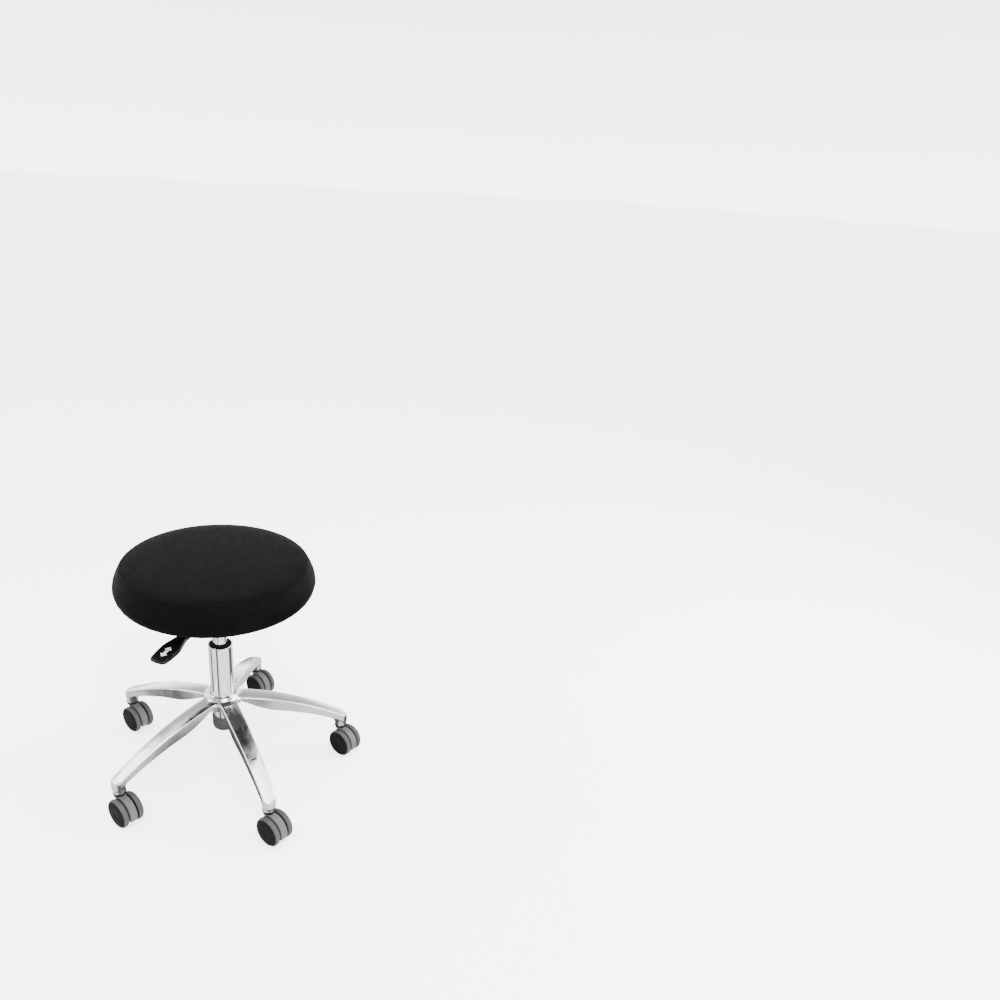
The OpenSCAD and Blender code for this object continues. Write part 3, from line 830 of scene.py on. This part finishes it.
def lever_place():
    """The paddle's own frame: X along it from its neck, Y across it, Z out of its top."""
    slope = math.atan(LEVER_DROP / (LEVER_REACH - LEVER_AT))
    return (Matrix.Rotation(LEVER_ANGLE, 4, "Z") @ Matrix.Translation((LEVER_AT, 0, LEVER_H))
            @ Matrix.Rotation(slope, 4, "Y")
            @ Matrix.Translation((LEVER_REACH - LEVER_AT - PADDLE_L, 0, 0)))


def paddle_half(x):
    """Half of the paddle's width at a distance along it."""
    t = np.clip((x - 10) / 46, 0, 1)
    swell = NECK_HALF + (PADDLE_HALF - NECK_HALF) * t * t * (3 - 2 * t)
    end = np.clip((x - 56) / (PADDLE_L - 56), 0, 1)
    return swell - 2.4 * end ** 2


def paddle_top(x):
    return np.interp(x, [0, 20, PADDLE_L - 24, PADDLE_L - 8, PADDLE_L + 1], [5.2, 5, 4.6, 3.8, 1.2])


def paddle_low(x):
    return np.interp(x, [0, 20, PADDLE_L - 22, PADDLE_L + 1], [-5.4, -5, -4.2, -2])


def dish(x, y):
    """Depth of the shallow hollow for a finger."""
    return DISH_DEPTH * np.exp(-((x - DISH_AT) / 20) ** 2 - (y / 13) ** 2)


def paddle_field(x, y, z):
    """Distance from the paddle's surface, with two moulded lines and a bore for the rod."""
    plan = (np.abs(y) - paddle_half(x)) * 0.96
    end = np.hypot(x - (PADDLE_L - END_R), y) - END_R
    plan = rounded_both(rounded_both(plan, end, 5.5), -x, 1.5)
    top = z - paddle_top(x) + dish(x, y)
    body = rounded_both(rounded_both(plan, top, 1.8), paddle_low(x) - z, 2.2)
    neck_line = np.hypot(x - 17, np.abs(z - 0.5) - 4.9) - 0.7
    side_line = np.hypot(plan + 2.6, z - paddle_top(x) - 0.1) - 0.45
    body = smooth_max(body, -neck_line, 0.4)
    body = smooth_max(body, -np.maximum(side_line, 24 - x), 0.3)
    hollow = np.maximum(np.hypot(y, z) - 4.03, x - PADDLE_L + 39)
    return np.maximum(body, -hollow)


def make_lever():
    place = lever_place()
    skinned("lever_handle", paddle_field, (-3, -25, -9), (PADDLE_L + 4, 25, 9),
            0.9, "lever_paddle", place)
    verts, n = [], len(ARROW)
    for lift in (-0.9, 0.25):
        for across, along in ARROW:
            x = DISH_AT + along * ARROW_SCALE
            verts.append((x, across * ARROW_SCALE, float(paddle_top(x) - dish(x, across)) + lift))
    faces = [list(range(n))[::-1], list(range(n, 2 * n))]
    faces += [[k, (k + 1) % n, n + (k + 1) % n, n + k] for k in range(n)]
    piece("lever_mark", placed(verts, place), faces, "lever_paddle", MARK, False, False)


# ------------------------------------------------------------ seat

BOARD_LOW = low("seat_board")
LIP_R = size("cover_drawcord", 0) / 2
SEAM_R, SEAM_H = 179, SEAT_TOP - 6


def seat_profile():
    """Points down half of the seat, from the middle of its top to the hem under its board."""
    t, b = SEAT_TOP, BOARD_LOW
    return np.array([
        (0, t), (40, t), (80, t - 0.1), (120, t - 0.5), (150, t - 1.2), (166, t - 2.3),
        (174.5, t - 3.8), (SEAM_R, SEAM_H), (183, t - 12), (187, t - 19.5), (190.8, t - 28),
        (193, t - 36), (SEAT_R, t - 43), (193, t - 50), (190.4, b + 6.5), (186.5, b + 1.4),
        (182, b - 0.9), (176, b - 1.6), (167, b - 1.6), (159, b - 1.6), (LIP_R, b - 1.6)], float)


def through(points, counts):
    """A smooth curve through points, with a given number of steps in each stretch."""
    out = []
    for i, n in enumerate(counts):
        p = [points[max(0, min(len(points) - 1, i + k))] for k in (-1, 0, 1, 2)]
        for s in np.arange(n) / n:
            bend, twist = 2 * p[0] - 5 * p[1] + 4 * p[2] - p[3], 3 * p[1] - p[0] - 3 * p[2] + p[3]
            out.append(0.5 * (2 * p[1] + (p[2] - p[0]) * s + bend * s ** 2 + twist * s ** 3))
    out.append(points[-1])
    return np.array(out)


def outward(curve):
    """Unit vectors out of the seat at each point of its outline."""
    step = np.gradient(curve, axis=0)
    n = np.stack([-step[:, 1], step[:, 0]], -1)
    return n / np.linalg.norm(n, axis=1)[:, None]


# The cloth starts from a form that is smaller by SWELL and may rise by as much. Where a row of
# it rises less, the row is lifted until it lies no deeper than SINK, inside the cover's thickness.
SWELL = 4.0
SINK = 0.3
COVER_T = 1.4
HEM = BOARD_LOW - 1.6
CLOTH_VOXEL = 5
CLOTH_FRAMES = 20
HEM_ROLL = [(-1.6, 0.5), (-2.4, 1.6), (-1.8, 2.6), (0.5, 2.8)]


def swollen_form():
    """The cushion as cloth under pressure: held at its seam and underside, puffed up elsewhere."""
    curve = through(seat_profile(), [2] * 20)
    gap = np.hypot(*(curve - (SEAM_R, SEAM_H)).T)
    shrink = SWELL * (1 - np.exp(-(gap / 11) ** 2)) * (curve[:, 1] > BOARD_LOW)
    shrink *= np.clip((curve[:, 1] - BOARD_LOW) / 14, 0, 1)
    form = curve - outward(curve) * shrink[:, None]
    verts, faces = revolved([(max(r, 0.0), z) for r, z in form] + [(0, HEM)], 120)
    mesh = bpy.data.meshes.new("swell")
    mesh.from_pydata([tuple(v) for v in np.asarray(verts) * MM], [], faces)
    pad = bpy.data.objects.new("swell", mesh)
    bpy.context.scene.collection.objects.link(pad)
    bpy.context.view_layer.objects.active = pad
    pad.select_set(True)
    remesh = pad.modifiers.new("voxels", "REMESH")
    remesh.mode, remesh.voxel_size = "VOXEL", CLOTH_VOXEL * MM
    bpy.ops.object.modifier_apply(modifier="voxels")
    start = np.empty(len(pad.data.vertices) * 3)
    pad.data.vertices.foreach_get("co", start)
    start = start.reshape(-1, 3)
    across, height = np.hypot(start[:, 0], start[:, 1]) / MM, start[:, 2] / MM
    held = (np.hypot(across - SEAM_R, height - SEAM_H) < 4) | (height < BOARD_LOW + 2)
    group = pad.vertex_groups.new(name="held")
    group.add(np.flatnonzero(held).tolist(), 1.0, "REPLACE")
    cloth = pad.modifiers.new("cloth", "CLOTH")
    cloth.settings.use_pressure = True
    cloth.settings.uniform_pressure_force = 4
    cloth.settings.vertex_group_mass = "held"
    cloth.settings.effector_weights.gravity = 0
    scene = bpy.context.scene
    for n in range(1, CLOTH_FRAMES + 1):
        scene.frame_set(n)
    shaped = pad.evaluated_get(bpy.context.evaluated_depsgraph_get())
    end = np.empty_like(start.ravel())
    shaped.data.vertices.foreach_get("co", end)
    move = end.reshape(-1, 3) - start
    length = np.linalg.norm(move, axis=1)
    move *= (np.minimum(length, SWELL * MM) / np.maximum(length, 1e-9))[:, None]
    tree_mesh = bmesh.new()
    tree_mesh.from_mesh(pad.data)
    for vert, shift in zip(tree_mesh.verts, move):
        vert.co += Vector(shift)
    tree = BVHTree.FromBMesh(tree_mesh)
    tree_mesh.free()
    scene.frame_set(1)
    bpy.data.objects.remove(pad)
    return tree


def blurred(values, times):
    """Evens out a grid of values round the seat and down it."""
    for _ in range(times):
        values = (np.roll(values, 1, 1) + 2 * values + np.roll(values, -1, 1)) / 4
        padded = np.vstack([values[:1], values, values[-1:]])
        values = (padded[:-2] + 2 * padded[1:-1] + padded[2:]) / 4
    return values


def cloth_rise(curve, normal, ring):
    """How far the swollen cloth lies outside the outline, on a grid round the seat and down it."""
    rise = np.zeros((len(curve), len(ring)))
    tree = swollen_form()
    for i, (p, n) in enumerate(zip(curve, normal)):
        for k, (c, s) in enumerate(ring):
            point, out = Vector((p[0] * c, p[0] * s, p[1])), Vector((n[0] * c, n[0] * s, n[1]))
            hit = tree.ray_cast((point + out * 12) * MM, -out, 30 * MM)[0]
            if hit is not None:
                rise[i, k] = np.clip((hit / MM - point).dot(out), -3, 2)
    rise = blurred(rise, 3)
    rise -= np.minimum(rise.mean(axis=1, keepdims=True) + SINK, 0)
    return rise * np.clip((curve[:, 1] - BOARD_LOW + 1) / 8, 0, 1)[:, None]


def sewn_rise(curve, along, seam, angles):
    """The stitched seam round the top, and the gathers where the cord draws the hem in."""
    groove = (-0.9 * np.exp(-((along - seam) / 0.9) ** 2)
              + 0.35 * np.exp(-((np.abs(along - seam) - 3.2) / 1.8) ** 2))
    slow = 0.55 + 0.45 * np.sin(angles * 3 + 0.7) * np.sin(angles * 7 + 2.0)
    puff = slow * np.sin(angles * 46 + 1.5 * np.sin(angles * 5)) + 0.4 * np.sin(angles * 83 + 1)
    under = np.clip((along - along[-1] + 46) / 46, 0, 1) ** 1.3
    pull = 0.35 * np.exp(-((curve[:, 1] - BOARD_LOW - 9) / 9) ** 2)
    return groove[:, None] + (1.5 * under)[:, None] * (np.abs(puff) - 0.1) + pull[:, None] * puff


def make_seat():
    steps = [3, 3, 3, 3, 3, 4, 9, 9, 4, 4, 4, 4, 4, 4, 4, 4, 3, 4, 4, 6]
    curve = through(seat_profile(), steps)[1:]
    normal = outward(curve)
    columns = 288
    angles = 2 * math.pi * np.arange(columns) / columns
    ring = np.stack([np.cos(angles), np.sin(angles)], -1)
    rise = cloth_rise(curve, normal, ring)
    along = np.concatenate([[0], np.cumsum(np.hypot(*np.diff(curve, axis=0).T))])
    seam = along[np.argmin(np.hypot(*(curve - (SEAM_R, SEAM_H)).T))]
    rise = np.maximum(rise + sewn_rise(curve, along, seam, angles), 0.15 - COVER_T)

    # one row of points for each step down the outline, then the hem's small roll over the cord
    rows = list(zip(curve[:, :1] + normal[:, :1] * rise, curve[:, 1:] + normal[:, 1:] * rise))
    last_r, last_z = rows[-1]
    rows += [(last_r + out, last_z + up) for out, up in HEM_ROLL]
    verts = np.stack([np.stack([r * ring[:, 0], r * ring[:, 1], z], -1) for r, z in rows])
    verts = np.vstack([[(0, 0, SEAT_TOP + rise[0].mean())], verts.reshape(-1, 3)])
    faces = [[0, 1 + k, 1 + (k + 1) % columns] for k in range(columns)]
    for i in range(len(rows) - 1):
        for k in range(columns):
            a, b = 1 + i * columns + k, 1 + i * columns + (k + 1) % columns
            faces.append([a, a + columns, b + columns, b])
    cover = piece("seat_leatherette", verts, faces, "seat_cover")
    make_stitches(curve, normal, along, seam, rise)


STITCHES = 236
# One stitch, from end to end: how far along, how high and how thick
STITCH = [(-1.55, -0.25, 0.2), (-1.1, 0.12, 0.36), (0, 0.2, 0.4), (1.1, 0.12, 0.36),
          (1.55, -0.25, 0.2)]


def make_stitches(curve, normal, along, seam, rise):
    """A row of short thread stitches just inside the seam."""
    at = np.argmin(np.abs(along - (seam - 4)))
    point, n = curve[at] + normal[at] * (rise[at].mean() - 0.1), normal[at]
    verts, faces = [], []
    section = 6
    for k in range(STITCHES):
        middle = 2 * math.pi * k / STITCHES
        for j, (swing, lift, thick) in enumerate(STITCH):
            a = middle + swing / point[0]
            for m in range(section):
                b = 2 * math.pi * m / section
                out = lift + thick * math.sin(b)
                rr = point[0] + n[0] * out + n[1] * thick * math.cos(b)
                zz = point[1] + n[1] * out - n[0] * thick * math.cos(b)
                verts.append((rr * math.cos(a), rr * math.sin(a), zz))
            if j:
                base = len(verts) - 2 * section
                faces += [[base + m, base + (m + 1) % section, base + section + (m + 1) % section,
                           base + section + m] for m in range(section)]
        base = len(verts) - 5 * section
        faces.append([base + m for m in range(section)][::-1])
        faces.append([base + 4 * section + m for m in range(section)])
    piece("seat_stitches", verts, faces, "seat_cover", THREAD, False)


# ------------------------------------------------------------ the whole stool

make_camera()
make_studio()
make_base()
make_hoods()
make_wheels()
make_column()
make_lever()
make_seat()
for node in ("seat_plate", "plate_screws", "tee_nuts", "lever_rod", "lever_pin", "rod_clip",
             "socket_sleeves", "release_pin"):
    bevelled(node, 0.9 if node == "seat_plate" else 0.4)
for node, obj in frame["nodes"].items():
    obj.data.materials.clear()
    obj.data.materials.append(MATERIALS[SLOT_OF[node]])
